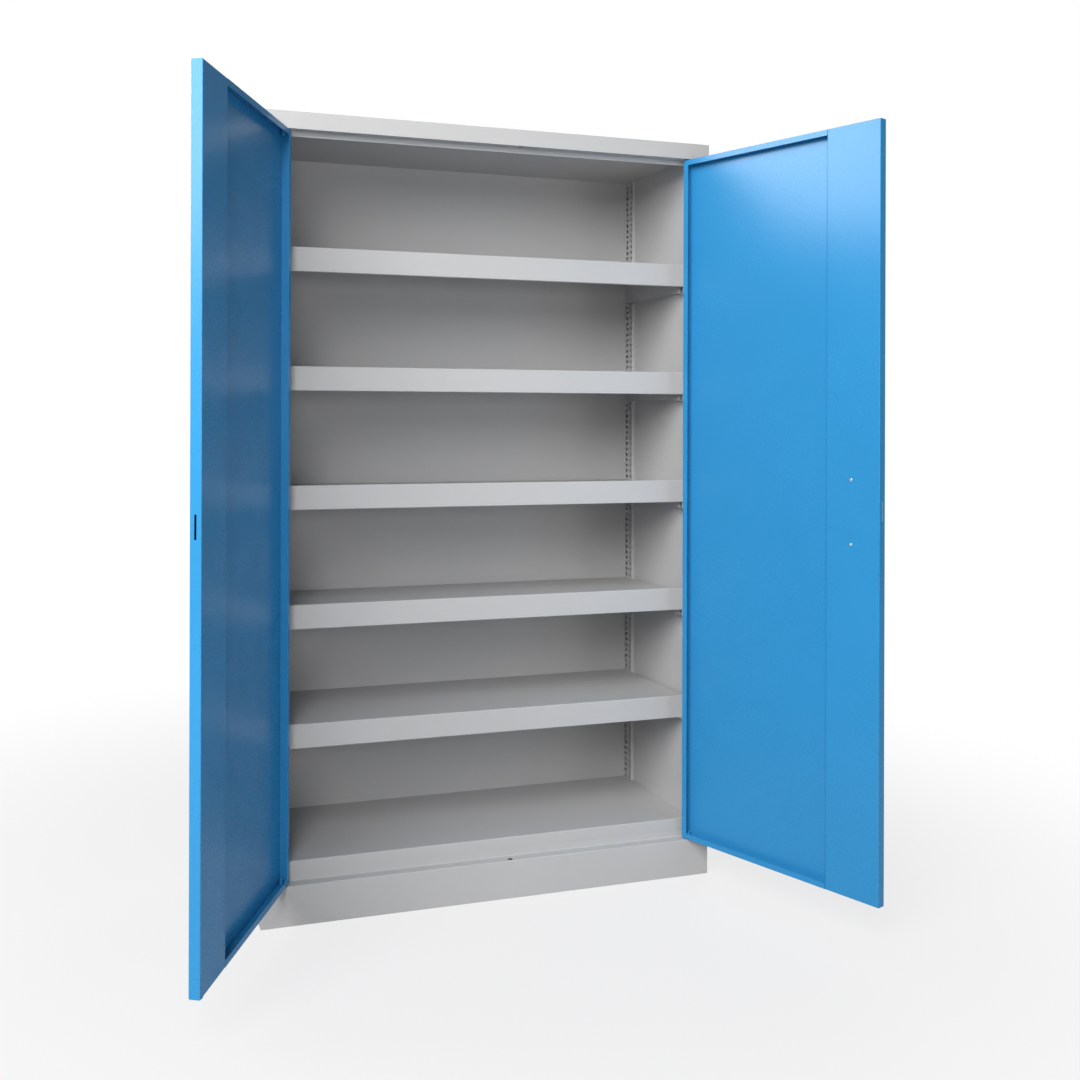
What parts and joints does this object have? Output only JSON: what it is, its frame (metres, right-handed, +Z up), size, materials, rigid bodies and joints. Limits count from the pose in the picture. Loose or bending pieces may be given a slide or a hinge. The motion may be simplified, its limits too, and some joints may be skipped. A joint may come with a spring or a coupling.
{
  "type": "locker cabinet",
  "caption": "Tall sheet-steel locker cabinet with two hinged doors, grey carcass, blue doors, railed ball shelves and a rod lock",
  "frame": {"origin": "on the ground at the middle of the carcass", "axes": "+Z up, +X to the right seen from the front, the doors face -Y"},
  "size_m": [1.5887, 0.9073, 1.95],
  "materials": {
    "carcass_paint": "semi-gloss light grey powder coat",
    "door_paint": "semi-gloss light blue powder coat",
    "zinc_steel": "bright zinc plated",
    "black_plastic": "moulded, fine grain",
    "handle_plastic": "moulded, fine grain",
    "cylinder_nickel": "nickel plated"
  },
  "bodies": {
    "carcass": {"plinth_front": "carcass_paint", "left_plinth": "carcass_paint", "right_plinth": "carcass_paint", "rear_plinth": "carcass_paint", "floor_support": "carcass_paint", "left_side_panel": "carcass_paint", "right_side_panel": "carcass_paint", "left_inner_wall": "carcass_paint", "right_inner_wall": "carcass_paint", "back_panel": "carcass_paint", "floor_pan": "carcass_paint", "ceiling_panel": "carcass_paint", "top_cover": "carcass_paint", "front_left_upright": "carcass_paint", "front_right_upright": "carcass_paint", "rear_left_upright": "carcass_paint", "rear_right_upright": "carcass_paint", "shelf_clips": "zinc_steel", "ball_shelf_1": "carcass_paint", "ball_shelf_2": "carcass_paint", "ball_shelf_3": "carcass_paint", "ball_shelf_4": "carcass_paint", "flat_shelf": "carcass_paint", "left_hinge_pins": "zinc_steel", "right_hinge_pins": "zinc_steel"},
    "left_door": {"left_door_skin": "door_paint", "left_door_stiffener": "door_paint", "left_door_bushes": "door_paint", "left_door_glide": "black_plastic"},
    "right_door": {"right_door_skin": "door_paint", "right_door_stiffener": "door_paint", "right_door_bushes": "door_paint", "lock_case": "zinc_steel", "lock_screws": "zinc_steel", "rod_guides": "black_plastic", "handle_rose": "handle_plastic"},
    "handle": {"handle": "handle_plastic", "lock_rotor": "zinc_steel", "lock_cylinder": "cylinder_nickel"},
    "upper_rod": {"upper_rod": "zinc_steel"},
    "lower_rod": {"lower_rod": "zinc_steel"},
    "latch_bolt": {"latch_bolt": "zinc_steel"}
  },
  "joints": [
    {"name": "left_door_hinge", "type": "hinge", "parent": "carcass", "child": "left_door", "pos_m": [-0.5495, -0.1915, 1.0025], "axis": [0, 0, -1], "range_deg": [-118.2, 1.8]},
    {"name": "right_door_hinge", "type": "hinge", "parent": "carcass", "child": "right_door", "pos_m": [0.5495, -0.1915, 1.0025], "axis": [0, 0, 1], "range_deg": [-111.3, 8.7]},
    {"name": "handle_turn", "type": "hinge", "parent": "right_door", "child": "handle", "pos_m": [0.73113, -0.65735, 1], "axis": [0.9317, 0.3633, 0], "range_deg": [0, 90]},
    {"name": "upper_rod_slide", "type": "slide", "parent": "right_door", "child": "upper_rod", "axis": [0, 0, 1], "range_m": [0, 0.0171]},
    {"name": "lower_rod_slide", "type": "slide", "parent": "right_door", "child": "lower_rod", "axis": [0, 0, -1], "range_m": [0, 0.0171]},
    {"name": "latch_bolt_slide", "type": "slide", "parent": "right_door", "child": "latch_bolt", "axis": [0.3633, -0.9317, 0], "range_m": [0, 0.0171]}
  ],
  "couplings": [
    {"joint": "upper_rod_slide", "follows": "handle_turn", "m_per_rad": 0.010804},
    {"joint": "lower_rod_slide", "follows": "handle_turn", "m_per_rad": 0.010804},
    {"joint": "latch_bolt_slide", "follows": "handle_turn", "m_per_rad": 0.010804}
  ]
}
